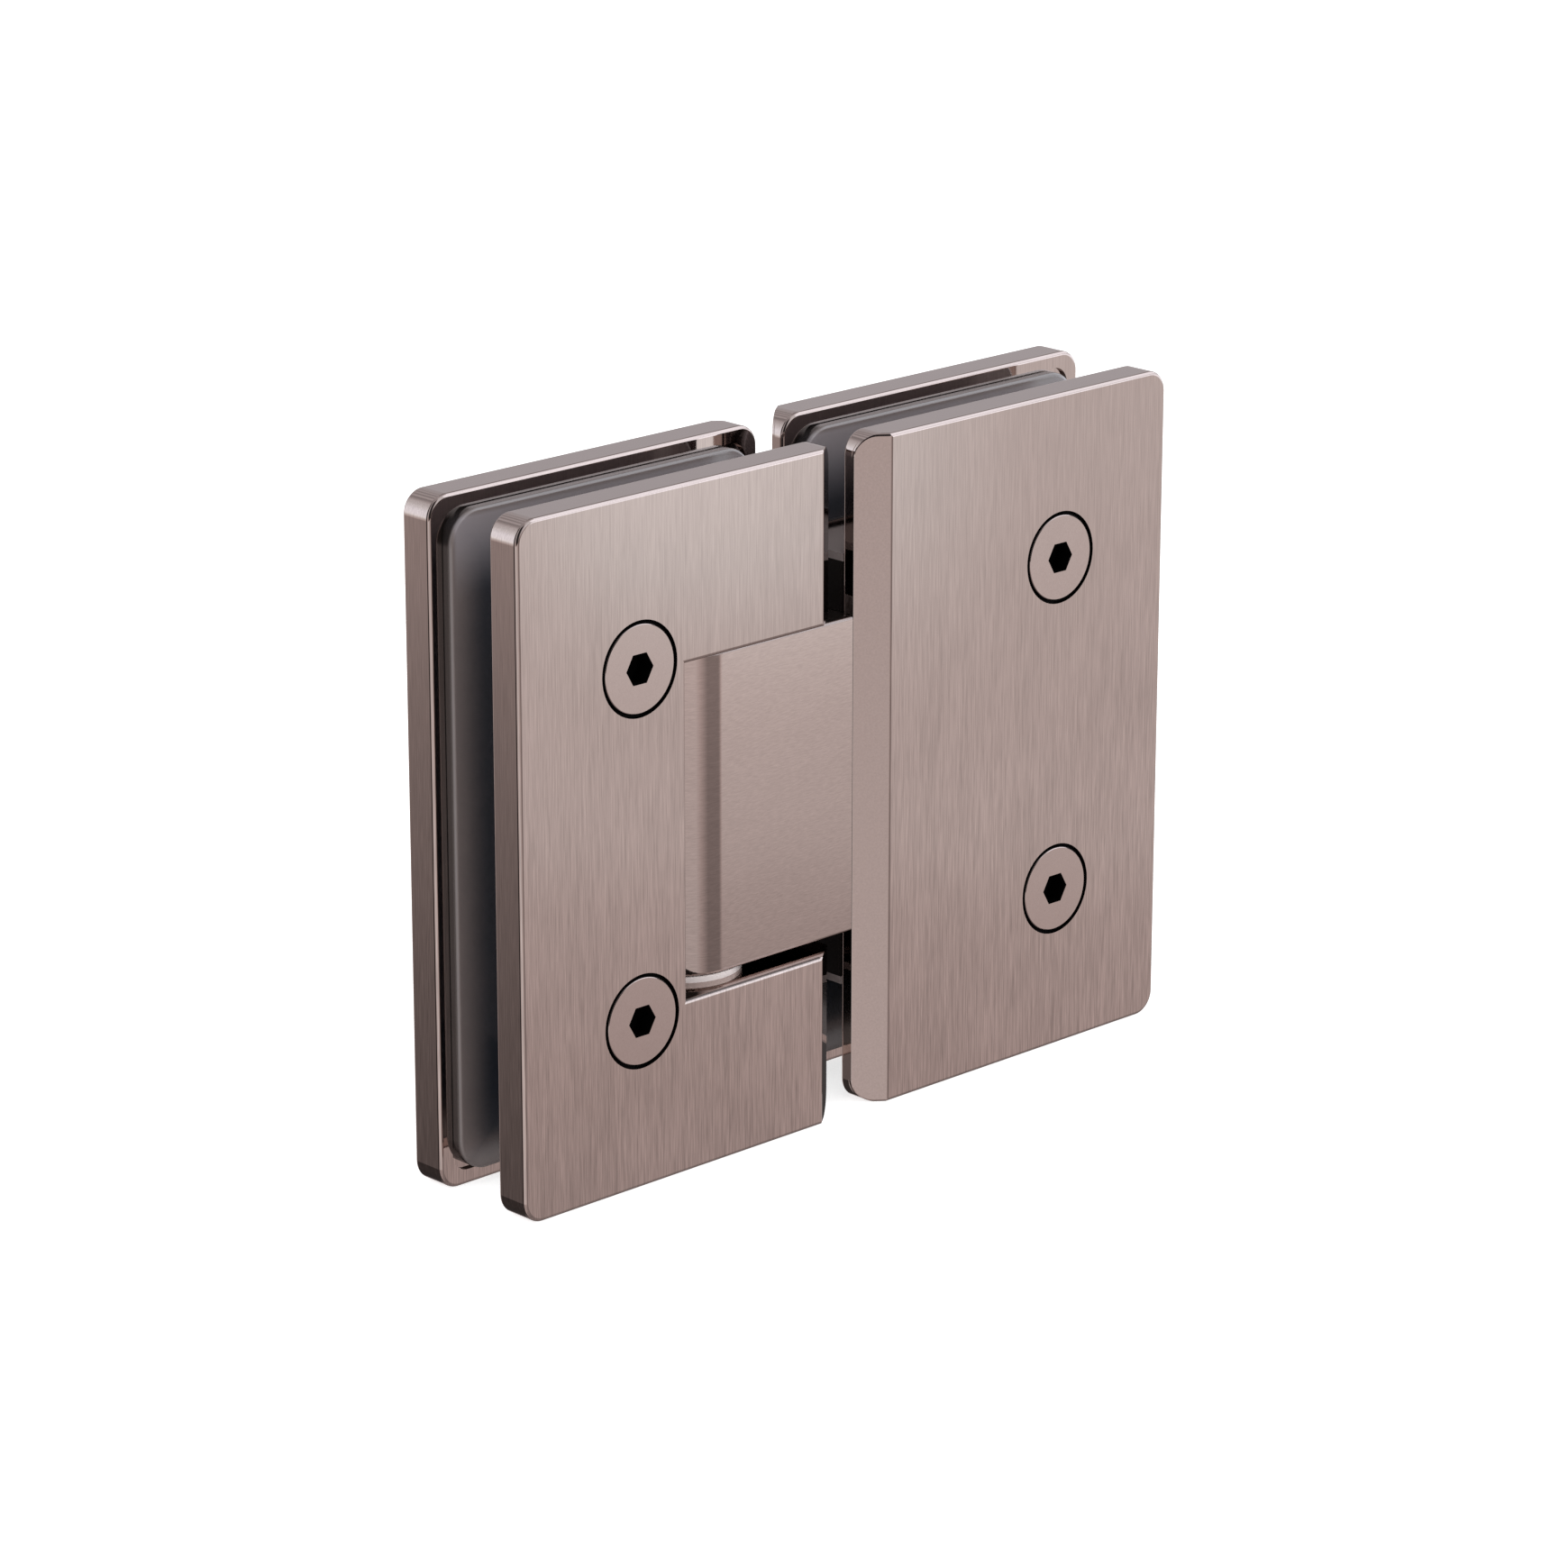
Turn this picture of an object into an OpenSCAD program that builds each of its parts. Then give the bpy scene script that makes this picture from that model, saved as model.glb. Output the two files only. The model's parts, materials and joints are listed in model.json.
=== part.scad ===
// Glass door hinge, glass to glass. Two leaves each clamp a sheet of glass between
// a front and a rear plate. The fixed leaf carries a cast body with a barrel, the
// door leaf carries the pin that turns in it, so the door swings to both sides.
// Origin at the centre of the closed hinge: +X along the width towards the fixed
// leaf, +Y to the back, +Z up. Leaf pieces are drawn with x = 0 at the leaf's inner
// edge and x rising towards its outer edge.

/* [Glass and gaskets] */
// Thickness of the glass that a leaf clamps
glass_t = 8; // [6:1:12]
// Thickness of a gasket pad
gasket_t = 2; // [1.5:0.25:3]
// Depth of the pocket that holds a gasket
pocket_depth = 0.5; // [0.25:0.25:1]
// Distance from a plate's edge to its gasket pocket
pocket_inset = 2; // [1.5:0.25:4]
// Radius of the pocket's corners
pocket_r = 2.5; // [1.5:0.25:4]
// Radius of a gasket's corners
gasket_r = 4.5; // [4.25:0.25:6]
// Radius of a gasket's rounded edges
gasket_round = 0.5; // [0.2:0.1:0.8]
// Clearance between a gasket and its pocket wall
gasket_fit = 0.1; // [0.05:0.05:0.3]
// Gap between a gasket and the edge liner
gasket_gap = 1; // [0.5:0.25:2]
// Thickness of the liner around the core
liner_t = 1; // [0.5:0.25:2]

/* [Plates] */
// Thickness of each plate
plate_t = 5; // [4:0.25:8]
// Gap between the two leaves
leaf_gap = 4.5; // [3:0.5:8]
// Width of the plates' band over the glass beyond the core
glass_cover_w = 14; // [11:0.5:30]
// Height of the plates' band over the glass above and below the core
glass_cover_h = 17; // [11:0.5:40]
// Radius of the plates' corners
corner_r = 3; // [1.5:0.25:4]
// Radius of the plates' rounded edges
edge_round = 0.5; // [0.2:0.05:0.9]
// Width of the wide bevel beside the gap
bevel_w = 3.75; // [2:0.25:6]
// Thickness of the thin edge that the wide bevel leaves
thin_edge_t = 2; // [1:0.25:3]
// Radius of the wide bevel's rounded outline
bevel_round = 0.35; // [0.1:0.05:0.6]
// Radius along the line between the wide bevel and a plate's face
line_round = 0.6; // [0.2:0.1:2]

/* [Pivot] */
// Height of the neck and the barrel
neck_h = 42.4; // [40:0.1:70]
// Distance from the pin's axis to the shoulder of the fixed leaf
neck_reach = 22.85; // [22.5:0.25:30]
// Radius of the rounded edges of the neck and the barrel
neck_round = 0.4; // [0.2:0.1:0.8]
// Gap between the barrel and the back of the notch
barrel_gap = 1.5; // [0.5:0.25:4]
// Height of an arm above or below the notch
arm_h = 6; // [5.5:0.1:12]
// Thickness of a thrust washer
washer_t = 0.75; // [0.5:0.05:2]
// Running gap between a washer and the barrel's end
washer_gap = 0.05; // [0.02:0.01:0.15]
// Radial clearance of the pin in a washer
washer_clear = 0.2; // [0.1:0.05:0.4]
// Diameter of the pin
pin_d = 8; // [6:0.5:9]
// Radial clearance of the pin between the bushes
relief_clear = 0.3; // [0.1:0.05:0.5]
// Wall of a bush
bush_t = 1; // [0.5:0.25:1.25]
// Length of a bush
bush_len = 9; // [5:0.5:9.5]
// Radial running clearance of the pin in a bush
running_gap = 0.03; // [0.01:0.01:0.08]
// Radial clearance of a tight or threaded fit
tight_gap = 0.02; // [0.01:0.01:0.05]
// Distance from a pin's end to the end of its arm
pin_recess = 0.5; // [0.2:0.1:1.5]
// Depth of the flats on the pin
flat_depth = 0.5; // [0.2:0.1:0.7]
// Diameter of the screws that lock the pin
lock_d = 4; // [3:0.5:4]
// Length of the screws that lock the pin
lock_len = 8; // [6:0.5:10]
// Key size of the screws that lock the pin
lock_key = 2; // [1.5:0.25:2]
// Depth of the sockets of the screws that lock the pin
lock_key_depth = 2.5; // [1.5:0.5:4]
// Length of a flat on the pin beyond what bears on it
flat_margin = 0.5; // [0.2:0.1:1]
// Chamfer on the ends of small turned pieces
break_edge = 0.2; // [0.1:0.05:0.3]

/* [Detent] */
// Distance between the two plungers' axes
plunger_pitch = 12; // [8:0.5:12.5]
// Diameter of a plunger
plunger_d = 6; // [5:0.25:6]
// Length of a plunger
plunger_len = 8; // [6:0.5:10]
// Chamfer around a plunger's nose
nose_chamfer = 0.8; // [0.3:0.1:1.2]
// Depth of the spring's seat in a plunger
spring_seat = 4; // [2:0.5:5]
// Wall of a plunger around its spring
seat_wall = 0.5; // [0.3:0.1:0.6]
// Clearance between a plunger's nose and the round of the pin
nose_gap = 0.12; // [0.05:0.01:0.3]
// Length of a spring
spring_len = 16; // [12:0.5:20]
// Diameter of a spring's wire
wire_d = 0.7; // [0.5:0.1:0.9]
// Turns of a spring
spring_turns = 8; // [6:1:10]
// Length of a plug
plug_len = 6; // [4:0.5:8]
// Key size of a plug
plug_key = 3; // [2:0.5:3]
// Depth of a plug's socket
plug_key_depth = 2; // [1:0.5:3]

/* [Clamping screws] */
// Diameter of a screw's shank
screw_d = 6; // [5:0.25:6.5]
// Diameter of a screw's countersunk head
head_d = 11.6; // [10.5:0.1:12]
// Width of the ring groove around a head
ring_w = 0.42; // [0.2:0.02:0.5]
// Depth of the ring groove
ring_depth = 0.6; // [0.3:0.1:0.9]
// Key size of a head's socket
head_key = 3.9; // [3:0.1:5]
// Depth of a head's socket
key_depth = 2.6; // [2:0.1:3.5]
// Radial clearance around a shank
screw_clear = 0.3; // [0.2:0.05:0.5]
// Clearance between a head and its seat
head_gap = 0.02; // [0.01:0.01:0.05]
// Distance from the back of the notch to the screws' axis
notch_to_screw = 7.65; // [7.25:0.05:12]
// Distance from the screws' axis to the core's outer end
screw_to_end = 5.75; // [4.75:0.25:12]
// Distance from a screw's axis to the core's top or bottom
screw_to_side = 5.13; // [4.75:0.01:12]
// Metal left under a tapped hole
thread_floor = 1; // [0.5:0.25:2]
// Clearance between a screw's tip and the end of its hole
tip_gap = 0.2; // [0.1:0.1:0.5]
// Chamfer at a screw's tip
tip_chamfer = 0.5; // [0.2:0.1:0.8]

/* [Hidden] */
$fn = 64;

// Depth of the leaves
core_t = glass_t + 2 * (gasket_t - pocket_depth);
total_t = core_t + 2 * plate_t;
bevel_depth = plate_t - thin_edge_t;
bevel_slope = atan2(bevel_depth, bevel_w);

// Pivot: the barrel is as thick as the core and the plates' thin edges together
neck_t = core_t + 2 * thin_edge_t;
pivot_x = leaf_gap / 2 - neck_reach;
notch_h = neck_h + 2 * (washer_t + washer_gap);
notch_w = neck_reach - leaf_gap + neck_t / 2 + barrel_gap;
pin_r = pin_d / 2;
bush_r = pin_r + running_gap + bush_t;
washer_bore_r = pin_r + washer_clear;
arm_mid_z = notch_h / 2 + arm_h / 2;

// Core and plates
core_h = notch_h + 2 * arm_h;
screw_x = notch_w + notch_to_screw;
screw_z = core_h / 2 - screw_to_side;
core_w = screw_x + screw_to_end;
plate_w = core_w + glass_cover_w;
plate_h = core_h + 2 * glass_cover_h;
window_w = core_w + liner_t + gasket_gap;
window_h = core_h + 2 * (liner_t + gasket_gap);

// Clamping screws
screw_r = screw_d / 2;
shank_hole_r = screw_r + screw_clear;
head_r = head_d / 2;
ring_r = head_r + ring_w;
thread_depth = plate_t - thread_floor;
screw_len = plate_t + core_t + thread_depth - tip_gap;

// Detent, all on the side of the pin that faces the fixed leaf
plunger_r = plunger_d / 2;
nose_x = pin_r + nose_gap;
spring_x = nose_x + plunger_len - spring_seat;
spring_r = plunger_r - seat_wall - tight_gap - running_gap - wire_d / 2;
plug_x = spring_x + spring_len;

// Overshoot of cutting tools
cut = 1;

nickel = [0.66, 0.59, 0.56];
steel = [0.70, 0.70, 0.71];
brass = [0.78, 0.66, 0.42];
pad_grey = [0.62, 0.64, 0.68];
nylon = [0.93, 0.93, 0.91];

// Turns a shape drawn along +Z so that it runs along +Y
module along_y() {
    rotate([-90, 0, 0]) children();
}

// Turns a shape drawn along +Z so that it runs along +X
module along_x() {
    rotate([0, 90, 0]) children();
}

// Puts a shape drawn from a leaf's inner edge on the fixed or the door side
module on_fixed_leaf() {
    translate([leaf_gap / 2, 0, 0]) children();
}

module on_door_leaf() {
    mirror([1, 0, 0]) on_fixed_leaf() children();
}

// A copy above and below mid-height
module at_heights(z) {
    for (side = [-1, 1]) translate([0, 0, side * z]) children();
}

// Rounded rectangle a by b, from the origin along u and centred in v
module round_section(a, b, r) {
    translate([r, -b / 2]) square([a - 2 * r, b]);
    translate([0, r - b / 2]) square([a, b - 2 * r]);
    for (u = [r, a - r], v = [r - b / 2, b / 2 - r]) translate([u, v]) circle(r);
}

// Disc centred on the origin, with rounded rims
module round_disc(disc_r, h, r) {
    rotate_extrude() {
        translate([0, -h / 2]) square([disc_r - r, h]);
        translate([0, r - h / 2]) square([disc_r, h - 2 * r]);
        for (v = [r - h / 2, h / 2 - r]) translate([disc_r - r, v]) circle(r);
    }
}

// Upright slab with round corners and rounded edges along both faces
module rounded_slab(w, h, t, corner, r) {
    translate([corner, 0, 0]) rotate([90, 0, 90]) linear_extrude(w - 2 * corner)
        round_section(t, h, r);
    translate([0, t / 2, corner - h / 2]) linear_extrude(h - 2 * corner)
        round_section(w, t, r);
    for (x = [corner, w - corner]) at_heights(h / 2 - corner)
        translate([x, t / 2, 0]) along_y() round_disc(corner, t, r);
}

// Upright block with round corners and plain edges
module round_block(w, h, t, r) {
    translate([r, 0, -h / 2]) cube([w - 2 * r, t, h]);
    translate([0, 0, r - h / 2]) cube([w, t, h - 2 * r]);
    for (x = [r, w - r]) at_heights(h / 2 - r) translate([x, 0, 0]) along_y()
        cylinder(h = t, r = r);
}

// All that lies behind the wide bevel: a slab turned to its slope, rounded along its
// outline, and the room deeper than that rounding
module behind_bevel() {
    side = bevel_round * tan(bevel_slope);
    corner = corner_r + bevel_round;
    translate([0, bevel_depth, 0]) rotate([0, 0, -bevel_slope]) {
        translate([-side, 0, 0])
            rounded_slab(plate_w, plate_h, plate_t, corner, bevel_round);
        translate([-plate_w, bevel_round, -plate_h])
            cube([2 * plate_w, plate_w, 2 * plate_h]);
    }
}

// Sliver outside the rounded line between the wide bevel and the plate's face
module bevel_line() {
    r = line_round;
    reach = r * tan(bevel_slope / 2);
    across = [cos(bevel_slope), -sin(bevel_slope)];
    outwards = [-sin(bevel_slope), -cos(bevel_slope)];
    translate([bevel_w, 0, -plate_h / 2 - cut]) linear_extrude(plate_h + 2 * cut)
        difference() {
            polygon([[reach, 0], [reach, -cut], cut * outwards - reach * across,
                -reach * across]);
            translate([reach, r]) circle(r);
        }
}

// Plate with its outer face at y = 0, the wide bevel and the gasket pocket
module plate_blank() {
    pocket_w = plate_w - 2 * pocket_inset;
    pocket_h = plate_h - 2 * pocket_inset;
    difference() {
        intersection() {
            rounded_slab(plate_w, plate_h, plate_t, corner_r, edge_round);
            behind_bevel();
        }
        bevel_line();
        difference() {
            translate([pocket_inset, plate_t - pocket_depth, 0])
                round_block(pocket_w, pocket_h, pocket_depth + cut, pocket_r);
            translate([-cut, 0, -window_h / 2 + gasket_fit])
                cube([window_w + cut - gasket_fit, plate_t + 2 * cut,
                    window_h - 2 * gasket_fit]);
        }
    }
}

// Section of a slot from v = -half to v = half through the plate, which lies along u
// from its outer face at u = 0, with rounded edges around the mouth there
module slot_section(half) {
    r = edge_round;
    translate([-cut, -half]) square([plate_t + 2 * cut, 2 * half]);
    difference() {
        translate([-cut, -half - r]) square([cut + r, 2 * (half + r)]);
        for (side = [-1, 1]) translate([r, side * (half + r)]) circle(r);
    }
}

// Space of the notch: where a level slot and an upright one meet
module notch_space() {
    intersection() {
        translate([-cut, 0, 0]) rotate([90, 0, 90]) linear_extrude(notch_w + 2 * cut)
            slot_section(notch_h / 2);
        translate([0, 0, -notch_h]) linear_extrude(2 * notch_h)
            mirror([1, -1]) slot_section(notch_w);
    }
}

// Space that a countersunk screw needs in a front plate, along +Y
module countersink() {
    seat_r = head_r + head_gap;
    along_y() rotate_extrude() polygon([[0, -cut], [ring_r, -cut], [ring_r, ring_depth],
        [seat_r, ring_depth], [shank_hole_r, ring_depth + seat_r - shank_hole_r],
        [shank_hole_r, plate_t + cut], [0, plate_t + cut]]);
}

module front_plate(notched) {
    translate([0, -total_t / 2, 0]) difference() {
        plate_blank();
        at_heights(screw_z) translate([screw_x, 0, 0]) countersink();
        if (notched) notch_space();
    }
}

// The rear plate is the front plate's mirror image, with blind tapped holes
module rear_plate(notched) {
    mirror([0, 1, 0]) translate([0, -total_t / 2, 0]) difference() {
        plate_blank();
        at_heights(screw_z) translate([screw_x, thread_floor, 0]) along_y()
            cylinder(h = plate_t, r = screw_r + tight_gap);
        if (notched) notch_space();
    }
}

// C-shaped pad that stands out of its pocket and bears on the glass
module gasket() {
    side = pocket_inset + gasket_fit;
    translate([0, -core_t / 2 - pocket_depth, 0]) difference() {
        translate([side, 0, 0]) rounded_slab(plate_w - 2 * side, plate_h - 2 * side,
            gasket_t, gasket_r, gasket_round);
        translate([-cut, -cut, -window_h / 2])
            cube([window_w + cut, gasket_t + 2 * cut, window_h]);
    }
}

// Strip around the three sides of the core that face the glass's cut edge
module edge_liner() {
    difference() {
        translate([0, -core_t / 2, -core_h / 2 - liner_t])
            cube([core_w + liner_t, core_t, core_h + 2 * liner_t]);
        translate([-cut, -core_t / 2 - cut, -core_h / 2])
            cube([core_w + cut, core_t + 2 * cut, core_h]);
    }
}

// Hexagon socket with a coned bottom, cut from z = 0 upwards
module key_socket(size, depth) {
    drill_r = size / 2;
    cone_h = drill_r / 2;
    translate([0, 0, -cut]) cylinder(h = depth + cut, r = drill_r / cos(30), $fn = 6);
    translate([0, 0, depth]) cylinder(h = cone_h, r1 = drill_r, r2 = 0);
}

module clamping_screw() {
    body = [[0, 0], [head_r - break_edge, 0], [head_r, break_edge], [head_r, ring_depth],
        [screw_r, ring_depth + head_r - screw_r], [screw_r, screw_len - tip_chamfer],
        [screw_r - tip_chamfer, screw_len], [0, screw_len]];
    color(steel) translate([screw_x, -total_t / 2, 0]) along_y() difference() {
        rotate_extrude() polygon(body);
        key_socket(head_key, key_depth);
    }
}

// Holes through a core for the two clamping screws
module shank_holes() {
    at_heights(screw_z) translate([screw_x, -core_t / 2 - cut, 0]) along_y()
        cylinder(h = core_t + 2 * cut, r = shank_hole_r);
}

// Headless screw with its tip at z = 0 and its socket at the other end
module grub_screw(d, len, key, depth) {
    r = d / 2 - tight_gap;
    c = break_edge;
    difference() {
        rotate_extrude() polygon([[0, 0], [r - c, 0], [r, c], [r, len - c],
            [r - c, len], [0, len]]);
        translate([0, 0, len]) mirror([0, 0, 1]) key_socket(key, depth);
    }
}

// Cast body of the fixed leaf: barrel, neck and the core between the plates
module pivot_body() {
    bush_z = neck_h / 2 - bush_len;
    color(nickel) difference() {
        union() {
            translate([pivot_x, 0, 0]) round_disc(neck_t / 2, neck_h, neck_round);
            translate([pivot_x, -neck_t / 2, 0]) rotate([90, 0, 90])
                linear_extrude(neck_reach) round_section(neck_t, neck_h, neck_round);
            on_fixed_leaf() translate([0, -core_t / 2, -core_h / 2])
                cube([core_w, core_t, core_h]);
        }
        translate([pivot_x, 0, 0]) {
            cylinder(h = neck_h + 2 * cut, r = pin_r + relief_clear, center = true);
            for (side = [0, 1]) mirror([0, 0, side]) translate([0, 0, bush_z])
                cylinder(h = bush_len + cut, r = bush_r + tight_gap);
            at_heights(plunger_pitch / 2) along_x()
                cylinder(h = neck_reach + core_w + cut, r = plunger_r + tight_gap);
        }
        on_fixed_leaf() shank_holes();
    }
}

module bush() {
    color(nylon) translate([pivot_x, 0, neck_h / 2 - bush_len]) difference() {
        cylinder(h = bush_len, r = bush_r);
        translate([0, 0, -cut]) cylinder(h = bush_len + 2 * cut, r = pin_r + running_gap);
    }
}

// Thrust washer that keeps the barrel's end off the notch
module washer() {
    color(nylon) translate([pivot_x, 0, notch_h / 2 - washer_t]) difference() {
        cylinder(h = washer_t, r = neck_t / 2);
        translate([0, 0, -cut]) cylinder(h = washer_t + 2 * cut, r = washer_bore_r);
    }
}

// Places a detent piece, drawn along +Z from the pin's axis, at its own height
module in_detent_bore() {
    translate([pivot_x, 0, plunger_pitch / 2]) along_x() children();
}

// Cup-shaped plunger that drops onto the pin's flats
module detent_plunger() {
    r = plunger_r - running_gap;
    seat_r = plunger_r - seat_wall;
    color(brass) in_detent_bore() translate([0, 0, nose_x]) rotate_extrude()
        polygon([[0, 0], [r - nose_chamfer, 0], [r, nose_chamfer], [r, plunger_len],
            [seat_r, plunger_len], [seat_r, plunger_len - spring_seat],
            [0, plunger_len - spring_seat]]);
}

// Coil spring swept from rings of wire, with flat closed ends left to the seats
module coil_spring(r, len, turns, wire) {
    ring_sides = 6;
    turn_steps = 12;
    steps = turns * turn_steps;
    rise = len - wire;
    points = [for (i = [0 : steps], j = [0 : ring_sides - 1])
        let (a = 360 * i / turn_steps, b = 360 * j / ring_sides, q = r + wire / 2 * cos(b))
        [q * cos(a), q * sin(a), wire / 2 + rise * i / steps + wire / 2 * sin(b)]];
    walls = [for (i = [0 : steps - 1], j = [0 : ring_sides - 1])
        let (k = (j + 1) % ring_sides, p = i * ring_sides, n = p + ring_sides)
        each [[p + j, p + k, n + k], [p + j, n + k, n + j]]];
    start = [for (j = [ring_sides - 1 : -1 : 0]) j];
    end = [for (j = [0 : ring_sides - 1]) steps * ring_sides + j];
    polyhedron(points, concat(walls, [start, end]));
}

module detent_spring() {
    color(steel) in_detent_bore() translate([0, 0, spring_x])
        coil_spring(spring_r, spring_len, spring_turns, wire_d);
}

module detent_plug() {
    color(steel) in_detent_bore() translate([0, 0, plug_x])
        grub_screw(plunger_d, plug_len, plug_key, plug_key_depth);
}

// C-shaped frame of the door leaf, whose two arms hold the pin
module door_frame() {
    axis_x = neck_reach - leaf_gap;
    color(nickel) on_door_leaf() difference() {
        translate([0, -core_t / 2, -core_h / 2]) cube([core_w, core_t, core_h]);
        translate([-cut, -core_t / 2 - cut, -notch_h / 2])
            cube([notch_w + cut, core_t + 2 * cut, notch_h]);
        translate([axis_x, 0, 0])
            cylinder(h = core_h + 2 * cut, r = pin_r + tight_gap, center = true);
        at_heights(arm_mid_z) translate([-cut, 0, 0]) along_x()
            cylinder(h = axis_x + cut, r = lock_d / 2);
        shank_holes();
    }
}

// Pin with flats for the plungers at its middle and for the lock screws at its ends
module pivot_pin() {
    len = core_h - 2 * pin_recess;
    c = break_edge;
    flat_x = pin_r - flat_depth;
    detent_h = plunger_pitch + plunger_d + 2 * flat_margin;
    lock_h = lock_d + 2 * flat_margin;
    color(steel) translate([pivot_x, 0, 0]) difference() {
        rotate_extrude() polygon([[0, -len / 2], [pin_r - c, -len / 2],
            [pin_r, c - len / 2], [pin_r, len / 2 - c], [pin_r - c, len / 2],
            [0, len / 2]]);
        for (turn = [0 : 90 : 270]) rotate([0, 0, turn])
            translate([flat_x, -pin_r, -detent_h / 2]) cube([pin_r, pin_d, detent_h]);
        at_heights(arm_mid_z) translate([flat_x, -pin_r, -lock_h / 2])
            cube([pin_r, pin_d, lock_h]);
    }
}

// Screw through an arm's end that bears on the pin's flat
module pin_lock_screw() {
    color(steel) translate([pivot_x + pin_r - flat_depth + tight_gap, 0, arm_mid_z])
        along_x() grub_screw(lock_d, lock_len, lock_key, lock_key_depth);
}

color(nickel) on_fixed_leaf() front_plate(false);  // fixed_front_plate
color(nickel) on_fixed_leaf() rear_plate(false);  // fixed_rear_plate
pivot_body();
color(pad_grey) on_fixed_leaf() gasket();  // fixed_front_gasket
color(pad_grey) mirror([0, 1, 0]) on_fixed_leaf() gasket();  // fixed_rear_gasket
color(nylon) on_fixed_leaf() edge_liner();  // fixed_edge_liner
on_fixed_leaf() translate([0, 0, screw_z]) clamping_screw();  // fixed_screw_upper
on_fixed_leaf() translate([0, 0, -screw_z]) clamping_screw();  // fixed_screw_lower
bush();  // upper_bush
mirror([0, 0, 1]) bush();  // lower_bush
detent_plunger();  // detent_plunger_upper
mirror([0, 0, 1]) detent_plunger();  // detent_plunger_lower
detent_spring();  // detent_spring_upper
mirror([0, 0, 1]) detent_spring();  // detent_spring_lower
detent_plug();  // detent_plug_upper
mirror([0, 0, 1]) detent_plug();  // detent_plug_lower
color(nickel) on_door_leaf() front_plate(true);  // door_front_plate
color(nickel) on_door_leaf() rear_plate(true);  // door_rear_plate
door_frame();
color(pad_grey) on_door_leaf() gasket();  // door_front_gasket
color(pad_grey) mirror([0, 1, 0]) on_door_leaf() gasket();  // door_rear_gasket
color(nylon) on_door_leaf() edge_liner();  // door_edge_liner
on_door_leaf() translate([0, 0, screw_z]) clamping_screw();  // door_screw_upper
on_door_leaf() translate([0, 0, -screw_z]) clamping_screw();  // door_screw_lower
pivot_pin();
pin_lock_screw();  // pin_lock_screw_upper
mirror([0, 0, 1]) pin_lock_screw();  // pin_lock_screw_lower
washer();  // upper_washer
mirror([0, 0, 1]) washer();  // lower_washer
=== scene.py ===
"""Looks of the glass door hinge: brushed plating, soft pads, studio and camera.

Lengths are in metres, and the sizes of grain in mm. The pads are worked out from the
packed boxes of the gaskets and liners, and all other pieces keep their own meshes.
"""
import json
from collections import namedtuple
from math import radians

import bmesh
import bpy
import numpy as np
from mathutils import Euler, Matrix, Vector


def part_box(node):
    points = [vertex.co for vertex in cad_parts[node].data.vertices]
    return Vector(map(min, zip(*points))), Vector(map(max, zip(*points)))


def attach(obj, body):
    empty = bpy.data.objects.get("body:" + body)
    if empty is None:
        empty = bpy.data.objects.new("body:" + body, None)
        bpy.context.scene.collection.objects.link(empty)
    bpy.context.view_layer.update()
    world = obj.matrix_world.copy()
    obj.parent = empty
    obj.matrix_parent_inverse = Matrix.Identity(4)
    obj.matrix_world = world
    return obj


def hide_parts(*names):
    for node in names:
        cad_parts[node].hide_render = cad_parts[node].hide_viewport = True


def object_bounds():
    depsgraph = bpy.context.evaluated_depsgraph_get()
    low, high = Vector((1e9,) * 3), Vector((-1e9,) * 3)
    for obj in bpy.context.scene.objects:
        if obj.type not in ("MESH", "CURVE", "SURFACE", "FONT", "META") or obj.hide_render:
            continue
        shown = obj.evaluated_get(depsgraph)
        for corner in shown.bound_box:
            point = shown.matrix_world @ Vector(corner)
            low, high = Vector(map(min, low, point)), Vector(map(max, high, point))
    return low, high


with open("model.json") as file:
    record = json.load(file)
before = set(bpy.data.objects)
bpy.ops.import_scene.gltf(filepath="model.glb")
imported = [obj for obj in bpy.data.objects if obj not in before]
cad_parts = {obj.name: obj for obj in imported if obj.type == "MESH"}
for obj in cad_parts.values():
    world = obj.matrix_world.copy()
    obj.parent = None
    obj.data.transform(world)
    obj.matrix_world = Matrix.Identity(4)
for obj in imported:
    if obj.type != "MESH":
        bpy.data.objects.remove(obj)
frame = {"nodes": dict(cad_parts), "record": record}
cad_box = [list(corner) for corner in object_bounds()]

MM = 0.001
WHITE = (1.0, 1.0, 1.0)

# Camera, fitted to the straight edges of the photo
PHOTO_SIZE = 1740
FOCAL_PX = 6256.15
SENSOR = 36.0
NEAR_CLIP = 10 * MM
CAMERA_PLACE = Vector((-481.96, -498.82, 218.71)) * MM
CAMERA_AZIMUTH = -43.8358
CAMERA_ELEVATION = 17.6862
CAMERA_ROLL = -0.0492

# Places on the hinge
FACE = 10.5 * MM
PLATE_HALF = 45.0 * MM
PLATE_ROUND = 0.5 * MM
BEVEL_END = 6.0 * MM
BEVEL_LINE = (BEVEL_END, BEVEL_END + 0.05 * MM)
GAP_WALL = (2.15 * MM, 2.20 * MM)
GROOVE_RIM = (6.35 * MM, 6.37 * MM)
SUNK = (FACE - 0.10 * MM, FACE - 0.04 * MM)
NECK_EDGE = (20.7 * MM, 20.9 * MM)
NECK_SPAN = 20.0 * MM
NOTCH_HALF = 22.0 * MM
NOTCH_REACH = 33.0 * MM

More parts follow.
